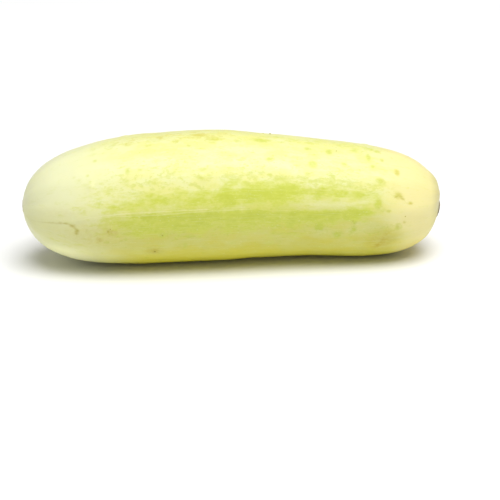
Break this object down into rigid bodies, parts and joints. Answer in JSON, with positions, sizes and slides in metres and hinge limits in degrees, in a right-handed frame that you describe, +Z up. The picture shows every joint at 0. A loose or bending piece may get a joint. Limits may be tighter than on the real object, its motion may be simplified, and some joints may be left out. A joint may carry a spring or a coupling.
{
  "type": "cucumber",
  "caption": "Short, thick, pale yellow-green cucumber lying on its side, tapered to the stem end, with a corky scar where the stalk came off.",
  "frame": {"origin": "on the surface that the fruit rests on, under the middle of its length and width", "axes": "+Z up, +X along the fruit towards its stem end, -Y towards the side that is seen"},
  "size_m": [0.14, 0.0442, 0.0437],
  "materials": {
    "skin": "satin, waxy"
  },
  "bodies": {
    "root": {"cucumber": "skin"}
  },
  "joints": []
}
